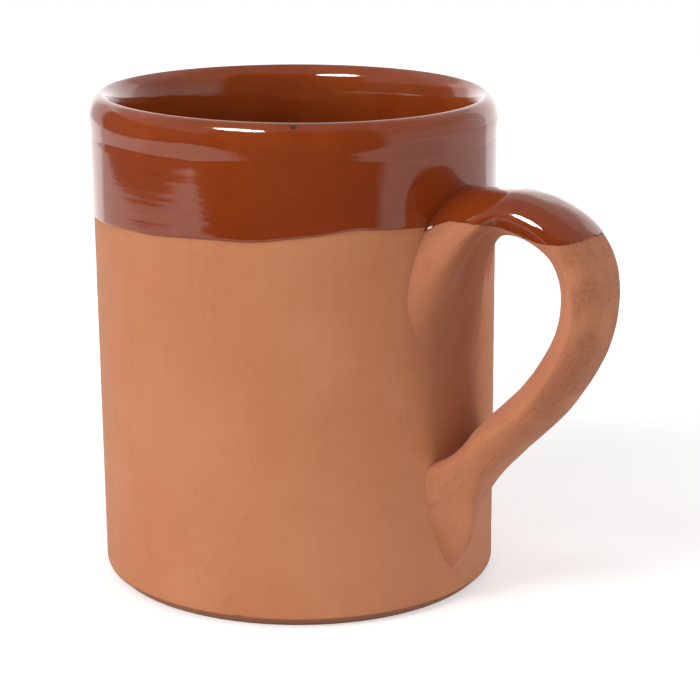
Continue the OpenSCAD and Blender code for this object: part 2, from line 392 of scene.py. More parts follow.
def makeWheelTree():  # turns a half profile, drawn as a line in XZ, into a round pot
    tree = bpy.data.node_groups.new("turnedOnWheel", "GeometryNodeTree")
    face = tree.interface
    sockets = {}
    face.new_socket("Profile", in_out="INPUT", socket_type="NodeSocketGeometry")
    for label, kind in (("Segments", "NodeSocketInt"), ("Ring Depth", number), ("Ring Pitch", number),
                        ("Ring Seed", number), ("Finish", "NodeSocketMaterial")):
        sockets[label] = face.new_socket(label, in_out="INPUT", socket_type=kind).identifier
    face.new_socket("Pot", in_out="OUTPUT", socket_type="NodeSocketGeometry")
    given = tree.nodes.new("NodeGroupInput").outputs
    size = nodeAdd(tree, "GeometryNodeAttributeDomainSize", {0: given["Profile"]}, component="MESH")
    count = size.outputs["Point Count"]
    across = plus(tree, given["Segments"], 1.0)
    sheet = nodeAdd(tree, "GeometryNodeMeshGrid",
                    {"Size X": 1.0, "Size Y": 1.0, "Vertices X": across, "Vertices Y": count})
    place = tree.nodes.new("GeometryNodeInputPosition").outputs[0]
    flat = splitAdd(tree, place)
    angle = times(tree, plus(tree, flat["X"], 0.5), 2 * math.pi)
    row = times(tree, plus(tree, flat["Y"], 0.5), minus(tree, count, 1.0))
    picked = nodeAdd(tree, "GeometryNodeSampleIndex",
                     {"Geometry": given["Profile"], "Index": mathAdd(tree, "ROUND", row)},
                     data_type="FLOAT_VECTOR", domain="POINT")
    tree.links.new(place, picked.inputs["Value"])
    point = splitAdd(tree, picked.outputs[0])
    cosine, sine = mathAdd(tree, "COSINE", angle), mathAdd(tree, "SINE", angle)
    level = plus(tree, mathAdd(tree, "DIVIDE", point["Z"], given["Ring Pitch"]), given["Ring Seed"])
    where = joinAdd(tree, *(times(tree, side, wheel["ringRound"]) for side in (cosine, sine)), level)
    ripple = minus(tree, noiseAdd(tree, where, 1.0, 2.0), 0.5)
    gate = rangeAdd(tree, point["X"], wheel["ringsFrom"], wheel["ringsFull"])
    swell = times(tree, times(tree, ripple, given["Ring Depth"]), gate)
    radius = plus(tree, point["X"], swell)
    moved = joinAdd(tree, times(tree, radius, cosine), times(tree, radius, sine), point["Z"])
    pot = sheet.outputs["Mesh"]
    for kind, values in (("SetPosition", {"Position": moved}),
                         ("MergeByDistance", {"Distance": wheel["weld"]}),
                         ("RealizeInstances", {}), ("SetMaterial", {"Material": given["Finish"]})):
        pot = nodeAdd(tree, "GeometryNode" + kind, {"Geometry": pot, **values}).outputs[0]
    tree.links.new(pot, tree.nodes.new("NodeGroupOutput").inputs[0])
    return tree, sockets


wheelTree, wheelSockets = makeWheelTree()


def throwPot(name, profile, values, material):
    line = bpy.data.meshes.new(name + "Line")
    edges = [(i, i + 1) for i in range(len(profile) - 1)]
    line.from_pydata([(r * mm, 0, z * mm) for r, z in profile], edges, [])
    made = linkObject(name, line)
    turning = made.modifiers.new("wheel", "NODES")
    turning.node_group = wheelTree
    for label, value in (("Segments", mug["segments"]), ("Ring Depth", values["ringDepth"] * mm),
                         ("Ring Pitch", values["ringPitch"] * mm), ("Ring Seed", values["ringSeed"]),
                         ("Finish", material)):
        turning[wheelSockets[label]] = value
    bpy.context.view_layer.update()
    plain = bpy.data.meshes.new_from_object(made.evaluated_get(bpy.context.evaluated_depsgraph_get()))
    made.modifiers.remove(turning)
    made.data = plain
    plain.name = name
    return made


def finishPot(made, *rules):  # the marks of making, then the errors of the hand
    for rule in rules + (settle,):
        reshape(made, rule)
    finishMesh(made)
    return made


lipShape = {  # the wall's inner and outer lines, which a coat draws in or out
    "crestIn": 2.2, "outerRise": 3.9,
    "bulge": 0.14, "bulgeFrom": 89.8,  # the lip stands out a little over the wall
    "ease": 3.1, "easeLong": 1.7, "easePower": 0.75, "easeRun": 9.0, "easeRows": 30,  # the long easing inside
    "coatTurn": 0.5,
}
lipFoot = mug["height"] - lipShape["outerRise"]


def wallAt(z):  # the wall's outside radius
    return mug["wallRadius"] + lipShape["bulge"] * float(smoothStep(lipShape["bulgeFrom"], lipFoot, z))


def outerLip(coat, count):  # from the wall up to the crest
    s = lipShape
    wide, high = s["crestIn"] + s["bulge"] + coat, s["outerRise"] + coat
    turns = [math.pi / 2 * i / count for i in range(count)]
    middle = mug["wallRadius"] - s["crestIn"]
    return [(middle + wide * math.cos(a), lipFoot + high * math.sin(a)) for a in turns]


def innerLine(coat, wallRows, cornerRows, floorRows):  # from the crest down to the middle of the floor
    s = lipShape
    wall, floor = mug["wallRadius"], mug["floor"]

    def eased(drop):
        far = s["ease"] * (1 - math.exp(-(drop / s["easeLong"]) ** s["easePower"]))
        over = math.exp(-drop / s["coatTurn"])
        return (wall - s["crestIn"] - far - coat * (1 - over), mug["height"] - drop + coat * over)

    top = eased(s["easeRun"])
    slope = (top[0] + coat - wall + mug["wall"]) / (top[1] - floor)
    lean = math.atan(slope)
    corner = mug["corner"] - coat
    midZ = floor + mug["corner"]
    midR = wall - mug["wall"] - coat + mug["corner"] * slope - corner / math.cos(lean)
    low = (midR + corner * math.cos(lean), midZ - corner * math.sin(lean))
    points = [eased(s["easeRun"] * (i / s["easeRows"]) ** 2) for i in range(s["easeRows"])]
    points += straightRun(top, low, wallRows)
    points += roundRun((midR, midZ), corner, -math.degrees(lean), -90, cornerRows)
    points += straightRun((midR, floor + coat), (0, floor + coat), floorRows)
    return points + [(0, floor + coat)]


bodyShape = {
    "bevelHigh": 1.9, "bevelIn": 1.7, "bevelRound": 0.45,
    "footCorner": [(-0.12, 0.05), (0.12, 0.24)], "bevelFoot": (0.35, 0.5),  # out and up from the foot's edge
    "bevelTop": [(-0.30, -0.45), (-0.12, -0.12), (-0.02, 0.25)], "wallFrom": 0.7,  # and from the bevel's top
    "footDish": 0.45, "footRing": 5.0,
    "dishRows": 22, "ringRows": 5, "bevelRows": 3, "wallRows": 110, "lipRows": 14, "insideRows": (30, 8, 10),
    "ringDepth": 0.10, "ringPitch": 4.6, "ringSeed": 3.1,
    "wireDepth": 0.07, "wirePitch": 3.6, "wireFrom": (70, -95), "wireSway": 1.3, "wireSwayLong": 9.0,
    "wireUnder": 0.9, "wireInside": (1, 2),
    "chipTurn": -72, "chipHigh": 1.8, "chipWide": 1.1, "chipTall": 0.5, "chipDeep": 0.5,
}


def makeBody():
    s = bodyShape
    wall = mug["wallRadius"]
    footEdge = wall - s["bevelIn"]
    dish = footEdge - s["footRing"]
    rows = s["dishRows"]
    profile = [(dish * i / rows, s["footDish"] * (1 - (i / rows) ** 2)) for i in range(rows)]
    profile += straightRun((dish, 0), (footEdge - s["bevelRound"], 0), s["ringRows"])
    profile += [(footEdge - s["bevelRound"], 0)] + [(footEdge + out, up) for out, up in s["footCorner"]]
    bevelTop = [(wall + out, s["bevelHigh"] + up) for out, up in s["bevelTop"]]
    profile += straightRun((footEdge + s["bevelFoot"][0], s["bevelFoot"][1]), bevelTop[0], s["bevelRows"])
    profile += bevelTop
    upright = straightRun((wall, s["bevelHigh"] + s["wallFrom"]), (wall, lipFoot), s["wallRows"])
    profile += [(wallAt(z), z) for _, z in upright]
    profile += outerLip(0, s["lipRows"])
    profile += innerLine(0, *s["insideRows"])
    made = throwPot("thrownBody", profile, s, bodyClay)

    def wireMarks(p):  # the arcs left under the foot by the cutting wire
        x, y, z = p.T
        far = np.hypot(x - s["wireFrom"][0], y - s["wireFrom"][1])
        mark = np.sin(2 * math.pi * far / s["wirePitch"] + s["wireSway"] * np.sin(far / s["wireSwayLong"]))
        inside = smoothStep(footEdge - s["wireInside"][0], dish - s["wireInside"][1], np.hypot(x, y))
        z = z + np.where(z < s["wireUnder"], s["wireDepth"] * (mark + 1) * inside, 0)
        return np.stack([x, y, z], axis=-1)

    def footChip(p):  # a small chip on the bevel's upper edge
        turn = np.arctan2(p[:, 1], p[:, 0]) - math.radians(s["chipTurn"])
        size = (turn * wall / s["chipWide"]) ** 2 + ((p[:, 2] - s["chipHigh"]) / s["chipTall"]) ** 2
        bite = 1 - s["chipDeep"] / wall * np.exp(-size)
        return p * np.stack([bite, bite, np.ones_like(bite)], axis=-1)

    return finishPot(made, wireMarks, footChip)


thrownBody = makeBody()
print("body thrown:", len(thrownBody.data.polygons), "faces")

liningShape = {
    "ringDepth": 0.05, "ringPitch": 5.2, "ringSeed": 8.4,
    "seenRows": (84, 16, 40), "hiddenRows": (24, 8, 8), "sunk": 0.12,  # the hidden side lies in the clay
    "spiralDepth": 0.22, "spiralPitch": 6.5, "spiralFrom": (1.0, 5.0), "spiralTo": (29, 22),
    "spiralOver": 0.1, "spiralUnder": 6.0,  # mm over the clay floor
}


def makeLining():
    s = liningShape
    seen = innerLine(mug["glaze"], *s["seenRows"])
    hidden = innerLine(-s["sunk"], *s["hiddenRows"])
    made = throwPot("glazeLining", seen + hidden[::-1] + seen[:1], s, liningGlaze)

    def fingerSpiral(p):  # the groove a finger leaves in the turning floor
        x, y, z = p.T
        far = np.hypot(x, y)
        wave = np.cos(2 * math.pi * far / s["spiralPitch"] - np.arctan2(y, x))
        up = z - mug["floor"]
        on = smoothStep(*s["spiralTo"], far) * smoothStep(*s["spiralFrom"], far)
        on = on * (up < s["spiralUnder"]) * (up > s["spiralOver"])
        return np.stack([x, y, z + s["spiralDepth"] * wave * on], axis=-1)

    return finishPot(made, fingerSpiral)


glazeLining = makeLining()
print("lining poured:", len(glazeLining.data.polygons), "faces")

dipLine = {
    "high": 74.9, "tilt": 1.2,  # mm on the axis, degrees up towards the handle
    "swing": 0.85, "swingTurn": -30,  # the rim was dipped with a slow sway
    "sags": [(-39, 7, 0.6), (-66, 10, -0.6), (-14, 9, -0.45), (-112, 9, 0.3),
             (62, 9, 0.4), (101, 11, -0.55), (150, 13, 0.45), (-160, 12, 0.3)],  # azimuth, width, rise
}


def dipHeight(turn):  # height of the glaze's lower edge on the wall at an azimuth
    d = dipLine
    degrees = np.degrees(turn)
    edge = d["high"] + mug["wallRadius"] * math.tan(math.radians(d["tilt"])) * np.cos(turn)
    edge = edge + d["swing"] * np.cos(2 * (turn - math.radians(d["swingTurn"])))
    for at, wide, rise in d["sags"]:
        off = (degrees - at + 180) % 360 - 180
        edge = edge + rise * np.exp(-(off / wide) ** 2)
    return edge


bandShape = {
    "bead": 0.03, "beadUp": 0.25, "beadHigh": 1.3,
    "edge": 0.30, "edgeTurns": (18, 36, 54, 70, 84),  # the lower edge rounds off to the clay
    "groove": 0.045, "grooveZ": 89.4, "grooveHigh": 0.7,  # a faint groove below the lip
    "sunk": 0.15, "tuck": 0.05, "swayFrom": (87, 78),
    "lipRows": 16, "wallRows": 64, "hiddenLipRows": 8, "hiddenRows": 12,
    "ringDepth": 0.05, "ringPitch": 6.0, "ringSeed": 5.7,
}


def makeRimBand():
    s = bandShape
    wall, coat, edge = mug["wallRadius"], mug["glaze"], s["edge"]
    foot = dipLine["high"]
    crest = (wall - lipShape["crestIn"], mug["height"] + coat)
    seen = [crest] + outerLip(coat, s["lipRows"])[::-1]  # crest, then down the outside
    for i in range(1, s["wallRows"] + 1):
        z = lipFoot - (lipFoot - foot - edge) * i / s["wallRows"]
        bead = s["bead"] * math.exp(-((z - foot - edge - s["beadUp"]) / s["beadHigh"]) ** 2)
        groove = s["groove"] * math.exp(-((z - s["grooveZ"]) / s["grooveHigh"]) ** 2)
        seen.append((wallAt(z) + coat + bead - groove, z))
    thick = seen[-1][0] - wall
    for turn in s["edgeTurns"]:
        a = math.radians(turn)
        seen.append((wall + thick * math.cos(a), foot + edge - edge * math.sin(a)))
    back, rows = wall - s["sunk"], s["hiddenRows"]
    hidden = [(back, foot - s["tuck"])] + [(back, foot + (lipFoot - foot) * i / rows) for i in range(1, rows)]
    hidden += outerLip(-s["sunk"], s["hiddenLipRows"]) + [(crest[0], mug["height"] - s["sunk"])]
    made = throwPot("rimGlaze", seen + hidden + seen[:1], s, dipGlaze)

    def sway(p):
        x, y, z = p.T
        shift = (dipHeight(np.arctan2(y, x)) - foot) * smoothStep(*s["swayFrom"], z)
        return np.stack([x, y, z + shift], axis=-1)

    return finishPot(made, sway)


rimGlaze = makeRimBand()
print("rim dipped:", len(rimGlaze.data.polygons), "faces")

strap = {
    "reach": 30.2, "drop": 19.6, "footZ": 23.4, "thick": 7.6,
    "width": 16.5, "outerFace": 4.2, "innerFace": 4.95,  # its depth each way from the middle line
    "thinOuter": 0.35, "thinInner": 0.4, "thinUntil": (1.0, 2.6),
    "ridgeOut": 0.40,  # the side ridges, and how they drift inwards
    "ridgeSteps": [(1.2, 3.2, -0.28), (3.2, 5.2, -0.40), (5.2, 6.4, -0.80)],
    "outerPower": 1.2, "innerPower": 1.5, "outerFlat": 0.8,
    "path": [(-0.06, 1.00), (0.45, 1.03), (0.83, 0.955), (0.99, 0.81),  # shares of the reach and the rise
             (0.945, 0.605), (0.695, 0.39), (0.36, 0.215), (-0.06, 0.00)],
    "start": 0.95, "end": 6.25,  # where the roots take over, in steps of the path
    "sides": 176, "rings": 310, "rootRings": 60, "rootPower": 1.15, "capShare": 0.80, "sharp": 60,
}
roots = {
    "upperTop": 82.3, "upperFoot": 46.5, "upperWide": 19.0, "upperTaper": 0.28, "upperFar": 0.82,
    "lowerTop": 30.1, "lowerFoot": 4.4, "lowerWide": 12.6, "lowerSharp": 2.8, "lowerRound": 0.92,
    "lowerFar": 0.72, "lowerFarRise": 0.55, "lowerFarAt": (-1.0, 7.0),
    "wallPull": 0.36, "hubShare": 0.55, "sink": 0.45, "straightPull": 0.12,
    "farFrom": (0.0, 0.1), "farTo": (1.0, 0.82),
    "thumbY": -6.4, "thumbZ": 15.5, "thumbWide": 2.2, "thumbTall": 7.5,  # a ridge beside the tongue
    "thumbHigh": 2.2, "thumbFrom": (0.0, 0.12),
}
strapTop = mug["height"] - strap["drop"]
strapRise = strapTop - strap["footZ"]
pathReach = strap["reach"] - strap["thick"] / 2
knots = np.array([mug["wallRadius"], strap["footZ"]]) + np.array(strap["path"]) * (pathReach, strapRise)
knots = np.vstack([2 * knots[0] - knots[1], knots, 2 * knots[-1] - knots[-2]])


def pathAt(u):  # point and direction of the strap's middle line, Catmull-Rom
    i = np.clip(np.floor(u).astype(int), 0, len(knots) - 4)
    t = (u - i)[..., None]
    a, b, c, d = knots[i], knots[i + 1], knots[i + 2], knots[i + 3]
    at = (2 * b + (c - a) * t + (2 * a - 5 * b + 4 * c - d) * t ** 2 + (3 * b - a - 3 * c + d) * t ** 3) / 2
    way = (c - a) + 2 * (2 * a - 5 * b + 4 * c - d) * t + 3 * (3 * b - a - 3 * c + d) * t ** 2
    return at, way / np.linalg.norm(way, axis=-1, keepdims=True)


def strapSkin(u, turn):  # turn 0 is the outer face, half a turn the inner one
    at, way = pathAt(u)
    s = strap
    c, d = np.cos(turn), np.sin(turn)
    ridge = s["ridgeOut"] + sum(by * smoothStep(low, high, u) for low, high, by in s["ridgeSteps"])
    thin = 1 - smoothStep(*s["thinUntil"], u)
    outer = s["outerFace"] - s["thinOuter"] * thin - ridge
    inner = s["innerFace"] - s["thinInner"] * thin + ridge
    deep = np.where(c >= 0, outer * np.abs(c) ** s["outerPower"], -inner * np.abs(c) ** s["innerPower"])
    deep = ridge + deep
    across = s["width"] / 2 * np.sign(d) * np.abs(d) ** np.where(c >= 0, s["outerFlat"], 1.0)
    return np.stack([at[..., 0] - way[..., 1] * deep, across, at[..., 1] + way[..., 0] * deep], axis=-1)


def onWall(y, z, farShare):  # the side away from the camera was smoothed down further
    r = mug["wallRadius"] - roots["sink"]
    y = np.where(y > 0, y * farShare, y)
    return np.stack([np.sqrt(r * r - y * y), y, z], axis=-1)


def upperOutline(turn):
    s = roots
    top, foot = s["upperTop"], s["upperFoot"]
    y = s["upperWide"] * np.sin(turn) * (1 - s["upperTaper"] * (1 + np.cos(turn)) / 2)
    return onWall(y, (top + foot) / 2 + (top - foot) / 2 * np.cos(turn), s["upperFar"])


def lowerOutline(turn):  # a shield: broad shoulders above, drawn down to a tongue
    s = roots
    y = s["lowerWide"] * np.sign(np.sin(turn)) * np.abs(np.sin(turn)) ** s["lowerRound"]
    rise = 1 - ((1 + np.cos(turn)) / 2) ** s["lowerSharp"]
    rise = rise + (1 - rise) * s["lowerFarRise"] * smoothStep(*s["lowerFarAt"], y)
    return onWall(y, s["lowerFoot"] + (s["lowerTop"] - s["lowerFoot"]) * rise, s["lowerFar"])


# How a root's strands lie, from the strap's outer face, k 0, to its inner one, k 1: their lean in degrees
# from the wall's normal, the share that runs straight, and how far they keep to the strap's way
upperLie = {
    "farFull": 0.6,
    "lean": 45, "leanInner": 27, "leanAt": (0.55, 0.95), "leanFar": 22,
    "plain": 0.8, "plainInner": 0.5, "plainAt": (0.55, 0.90), "plainFarAt": (0.1, 0.35),
    "pull": 0.30, "pullInner": 0.20, "pullAt": (0.75, 0.95),
}
lowerLie = {  # the near flank stands up from the wall, the far one lies flat
    "nearAt": (0.0, 0.05), "lean": 68, "leanNear": 36,
    "plain": 0.25, "plainNear": 0.05,
    "pull": 0.60, "pullInner": 0.48, "pullAt": (0.0, 0.2),
}


def upperRule(k, far):
    s = upperLie
    far = smoothStep(0.0, s["farFull"], far)
    lean = s["lean"] + s["leanInner"] * smoothStep(*s["leanAt"], k) + s["leanFar"] * far
    plain = s["plain"] - s["plainInner"] * smoothStep(*s["plainAt"], k)
    plain = plain * (1 - far * smoothStep(*s["plainFarAt"], k))
    return lean, plain, s["pull"] + s["pullInner"] * np.maximum(far, smoothStep(*s["pullAt"], k))


def lowerRule(k, far):
    s = lowerLie
    near = smoothStep(*s["nearAt"], k) * (1 - far)
    pull = s["pull"] - s["pullInner"] * smoothStep(*s["pullAt"], k)
    return s["lean"] - s["leanNear"] * near, s["plain"] + s["plainNear"] * near, pull


def strands(a, d, hubZ, rule, way, t):  # from the outline on the wall to the strap's skin
    s = roots
    span = np.linalg.norm(d - a, axis=-1, keepdims=True)
    out = a * np.array([1, 1, 0])
    out = out / np.linalg.norm(out, axis=-1, keepdims=True)
    hub = np.stack([np.full(len(a), mug["wallRadius"]), np.zeros(len(a)),
                    a[:, 2] + (hubZ - a[:, 2]) * s["hubShare"]], axis=-1)
    inward = (hub - a) / np.linalg.norm(hub - a, axis=-1, keepdims=True)
    k = ((1 - np.cos(fullTurn(len(a)))) / 2)[:, None]
    far = (a[:, 1:2] > 0) * smoothStep(*s["farFrom"], k) * smoothStep(*s["farTo"], k)
    lean, plain, pull = rule(k, far)
    lean = np.radians(lean)
    leave = np.cos(lean) * out + np.sin(lean) * inward
    leave = leave + ((d - a) / span - leave) * plain
    pull = pull + (s["straightPull"] - pull) * plain
    b, c = a + leave * span * s["wallPull"], d - way * span * pull
    t = t[:, None, None]
    return (1 - t) ** 3 * a + 3 * (1 - t) ** 2 * t * b + 3 * (1 - t) * t ** 2 * c + t ** 3 * d


def handleGrid():
    s, r = strap, roots
    turn = fullTurn(s["sides"])
    t = (np.arange(s["rootRings"]) / s["rootRings"]) ** s["rootPower"]
    u = np.linspace(s["start"], s["end"], s["rings"])
    first, last = np.full(s["sides"], s["start"]), np.full(s["sides"], s["end"])
    way = pathAt(np.array([s["start"], s["end"]]))[1]
    upper = strands(upperOutline(turn), strapSkin(first, turn), strapTop, upperRule,
                    np.array([way[0, 0], 0, way[0, 1]]), t)
    lower = strands(lowerOutline(turn), strapSkin(last, turn), s["footZ"], lowerRule,
                    -np.array([way[1, 0], 0, way[1, 1]]), t)[::-1]
    ridge = ((lower[..., 1] - r["thumbY"]) / r["thumbWide"]) ** 2
    ridge = ridge + ((lower[..., 2] - r["thumbZ"]) / r["thumbTall"]) ** 2
    lower[..., 0] += r["thumbHigh"] * np.exp(-ridge) * smoothStep(*r["thumbFrom"], t[::-1])[:, None]
    middle = strapSkin(*np.meshgrid(u, turn, indexing="ij"))
    return np.concatenate([upper, middle, lower])


def gridNormals(p):  # outward normals of a tube of rings
    along = np.gradient(p, axis=0)
    around = np.roll(p, -1, axis=1) - np.roll(p, 1, axis=1)
    n = np.cross(around, along)
    return n / np.maximum(np.linalg.norm(n, axis=-1, keepdims=True), 1e-9)


handSkin = {  # depth in mm, feature size, seed, and how far off the wall it starts and is full
    "swell": (0.10, 13, 11.3, 0.0, 5.0),
    "dent": (0.05, 3.4, 23.9, -0.3, 2.5),
    "drag": (0.025, 1.0, 4.2, -0.3, 0.6), "dragRound": 10.0, "dragLong": 14,
    "tear": 0.03, "tearSize": 1.2, "tearSeed": 37.7, "tearAcross": 0.3,
    "tearAt": (0.28, 0.33, 0.68, 0.84), "tearFace": (0.05, 0.55), "tearTurn": 0.15,  # the stretched bend, which also gets painted shade
    "patch": (-0.8, 0.4), "patchSize": 5.5, "patchSeed": 51.5,
}


def handleMarks(rows, sides):  # how the clay was pulled along, and where it was stretched, which also carries a painted shade on the outer face
    s = handSkin
    turn, along = np.meshgrid(fullTurn(sides), np.arange(rows) / rows)
    pulled = np.stack([np.cos(turn), np.sin(turn), along * s["dragLong"] / s["dragRound"]], axis=-1)
    low, full, fade, end = s["tearAt"]
    stretchedShade = smoothStep(low, full, along) * smoothStep(end, fade, along)
    stretchedShade = stretchedShade * smoothStep(*s["tearFace"], np.cos(turn + s["tearTurn"]))
    return pulled * s["dragRound"], stretchedShade


def handleSurface():
    p = handleGrid()
    n = gridNormals(p)
    s = handSkin
    pulled, stretchedShade = handleMarks(*p.shape[:2])
    off = np.hypot(p[..., 0], p[..., 1]) - mug["wallRadius"]
    stretchedShade = stretchedShade * smoothStep(*s["patch"], grain(p, s["patchSize"], s["patchSeed"]))
    fibres = p * np.array([1, s["tearAcross"], 1])
    push = 0
    for mark, where in (("swell", p), ("dent", p), ("drag", pulled)):
        deep, size, seed, start, full = s[mark]
        push = push + deep * grain(where, size, seed) * smoothStep(start, full, off)
    push = push + s["tear"] * grain(fibres, s["tearSize"], s["tearSeed"]) * stretchedShade
    return p + n * push[..., None], pulled, stretchedShade


def tubeFaces(rows, sides):
    here = np.arange(rows * sides).reshape(rows, sides)
    beside = np.roll(here, -1, axis=1)
    return np.stack([here[:-1], beside[:-1], beside[1:], here[1:]], axis=-1).reshape(-1, 4).tolist()


handlePoints, handlePulled, handleStretchedShade = handleSurface()


def makeHandle():
    p = settle(handlePoints)
    sunk = p[[0, -1]].copy()
    sunk[..., 0] = mug["wallRadius"] * strap["capShare"]
    rings = np.concatenate([sunk[:1], p, sunk[1:]])
    rows, sides = rings.shape[:2]
    faces = tubeFaces(rows, sides)
    verts = np.concatenate([rings.reshape(-1, 3), sunk.mean(axis=1)])
    hub = rows * sides
    for j in range(sides):
        k = (j + 1) % sides
        faces.append((k, j, hub))
        faces.append((hub - sides + j, hub - sides + k, hub + 1))
    made = meshObject("pulledHandle", verts, faces, handleClay)
    pulled = np.concatenate([handlePulled[:1], handlePulled, handlePulled[-1:]]).reshape(-1, 3)
    pulled = np.concatenate([pulled, np.zeros((2, 3))])
    stretchedShade = np.zeros(len(verts))
    stretchedShade[sides:sides + handleStretchedShade.size] = handleStretchedShade.ravel()
    marks = made.data.attributes
    marks.new("pulled", "FLOAT_VECTOR", "POINT").data.foreach_set("vector", pulled.ravel())
    marks.new("stretchedShade", "FLOAT", "POINT").data.foreach_set("value", stretchedShade)
    finishMesh(made, strap["sharp"])
    return made


pulledHandle = makeHandle()
print("handle pulled:", len(pulledHandle.data.polygons), "faces")

coatSharp = 50  # degrees, for the edges of coats


def coatObject(name, p, n, outer, inner, keep, wrap, material):  # closed skin over part of a grid
    rows, cols = p.shape[:2]
    top = (p + n * outer[..., None]).reshape(-1, 3)
    low = (p + n * inner).reshape(-1, 3)
    used, verts, faces, sides = {}, [], [], {}

    def vertex(index, layer):
        key = (index, layer)
        if key not in used:
            used[key] = len(verts)
            verts.append((top if layer else low)[index])
        return used[key]

    for i in range(rows - 1):
        for j in range(cols if wrap else cols - 1):
            if not keep[i, j]:
                continue
            k = (j + 1) % cols
            quad = (i * cols + j, i * cols + k, (i + 1) * cols + k, (i + 1) * cols + j)
            faces.append([vertex(q, 1) for q in quad])
            faces.append([vertex(q, 0) for q in quad[::-1]])
            sides.update(dict.fromkeys(zip(quad, quad[1:] + quad[:1])))
    for a, b in sides:  # a side that only one face has is the coat's border
        if (b, a) not in sides:
            faces.append([vertex(b, 1), vertex(a, 1), vertex(a, 0), vertex(b, 0)])
    made = meshObject(name, settle(np.array(verts)), faces, material)
    finishMesh(made, coatSharp)
    return made


handleDip = {
    "high": 77.7, "sag": 2.3, "sagFrom": (47, 60), "rise": 1.9, "riseFrom": (63, 70.5),  # along x
    "pool": 2.0, "poolWide": 2.0,  # it hangs lower where it runs to the wall
    "waver": 0.15, "waverSize": 4.0, "waverSeed": 15.5,
    "bead": 0.03, "beadUp": 0.7, "beadHigh": 0.8, "fillet": 0.12, "filletWide": 0.9, "edge": 0.8,
    "tuck": 0.10, "tuckOver": 0.25, "sunk": 0.30,  # below its edge it goes under the clay's skin
    "under": 0.35, "inside": 1.2,  # how far it runs on below its edge and into the wall
}


def makeHandleGlaze():
    s = handleDip
    p = handlePoints
    n = gridNormals(p)
    x, y, z = p[..., 0], p[..., 1], p[..., 2]
    off = np.hypot(x, y) - mug["wallRadius"]
    edge = s["high"] - s["sag"] * smoothStep(*s["sagFrom"], x) + s["rise"] * smoothStep(*s["riseFrom"], x)
    edge = edge - s["pool"] * np.exp(-(np.maximum(off, 0) / s["poolWide"]) ** 2)
    edge = edge + s["waver"] * grain(p, s["waverSize"], s["waverSeed"])
    up = z - edge
    coat = mug["glaze"] + s["bead"] * np.exp(-((up - s["beadUp"]) / s["beadHigh"]) ** 2)
    coat = coat + s["fillet"] * np.exp(-np.maximum(off, 0) / s["filletWide"])
    rising = np.clip(up / s["edge"], 0, 1)
    lift = np.sqrt(rising * (2 - rising))
    outer = np.where(up > 0, coat * lift, 0) - s["tuck"] * smoothStep(0.0, -s["tuckOver"], up)
    seen = (up > -s["under"]) & (off > -s["inside"])
    keep = seen[:-1] & seen[1:]
    keep = keep & np.roll(keep, -1, axis=1)
    return coatObject("handleGlaze", p, n, outer, -s["sunk"], keep, True, dipGlaze)


handleGlaze = makeHandleGlaze()
print("handle dipped:", len(handleGlaze.data.polygons), "faces")

slipShape = {
    "uneven": 0.35, "wipeSize": 2.2, "wipeLong": 0.35, "step": 0.5, "edgePoints": 90,
    "rise": 2.5, "under": 72.0, "underFade": 3.0,  # it thins out under the glaze
    "skin": 0.05, "least": 0.005, "sunk": 0.2,
    "upper": {"low": 42.0, "high": 88.0, "reach": 25.0, "thick": 0.26, "fade": 2.4, "seed": 5.5},
    "lower": {"low": 2.6, "high": 36.0, "reach": 18.0, "thick": 0.28, "fade": 1.2, "seed": 9.5},
}


def makeSlip(name, outline, joint):
    s = slipShape
    wall, step = mug["wallRadius"], s["step"]
    edge = outline(fullTurn(s["edgePoints"]))
    turns = np.arange(-joint["reach"], joint["reach"] + step, step) / wall
    a, z = np.meshgrid(turns, np.arange(joint["low"], joint["high"] + step, step))
    p = np.stack([wall * np.cos(a), wall * np.sin(a), z], axis=-1)
    n = np.stack([np.cos(a), np.sin(a), np.zeros_like(a)], axis=-1)
    ring = np.stack([np.arctan2(edge[:, 1], edge[:, 0]) * wall, edge[:, 2]], axis=-1)
    spot = np.stack([a * wall, z], axis=-1)
    near = np.linalg.norm(spot[:, :, None] - ring[None, None], axis=-1).min(axis=-1)
    after = np.roll(ring, -1, axis=0)
    crossing = (ring[:, 1] > z[..., None]) != (after[:, 1] > z[..., None])
    slope = (after[:, 0] - ring[:, 0]) / (after[:, 1] - ring[:, 1] + 1e-9)
    left = spot[..., :1] < ring[:, 0] + slope * (z[..., None] - ring[:, 1])
    inside = (crossing & left).sum(axis=-1) % 2 == 1
    far = np.where(inside, 0, near)
    wiped = 1 + s["uneven"] * grain(p * np.array([1, 1, s["wipeLong"]]), s["wipeSize"], joint["seed"])
    ends = smoothStep(joint["low"], joint["low"] + s["rise"], z)
    ends = ends * smoothStep(s["under"] + s["underFade"], s["under"], z)
    outer = joint["thick"] * np.exp(-(far / joint["fade"]) ** 2) * wiped * ends - s["skin"]
    seen = outer > s["least"] - s["skin"]
    keep = seen[:-1, :-1] & seen[1:, :-1] & seen[:-1, 1:] & seen[1:, 1:]
    return coatObject(name, p, n, outer, -s["sunk"], keep, False, slipClay)


upperSlip = makeSlip("upperSlip", upperOutline, slipShape["upper"])
lowerSlip = makeSlip("lowerSlip", lowerOutline, slipShape["lower"])
print("slip wiped:", len(upperSlip.data.polygons) + len(lowerSlip.data.polygons), "faces")

for piece, node, finish in (
        (thrownBody, "thrown_body", "terracotta_clay"), (pulledHandle, "pulled_handle", "handle_clay"),
        (upperSlip, "upper_slip_joint", "slip"), (lowerSlip, "lower_slip_joint", "slip"),
        (glazeLining, "glaze_lining", "lining_glaze"), (rimGlaze, "rim_glaze_band", "dip_glaze"),
        (handleGlaze, "handle_glaze", "dip_glaze")):
    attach(piece, "root")
    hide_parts(node)
print("pieces ride on the frame")

shot = {  # the photograph's own view: mm, pixels and radians
    "azimuth": 35.0, "far": 414.5, "high": 155.5, "focal": 2115.0, "pixels": 700, "sensor": 36,
    "pitch": 0.2621, "yaw": 0.0246, "roll": 0.0053,
}


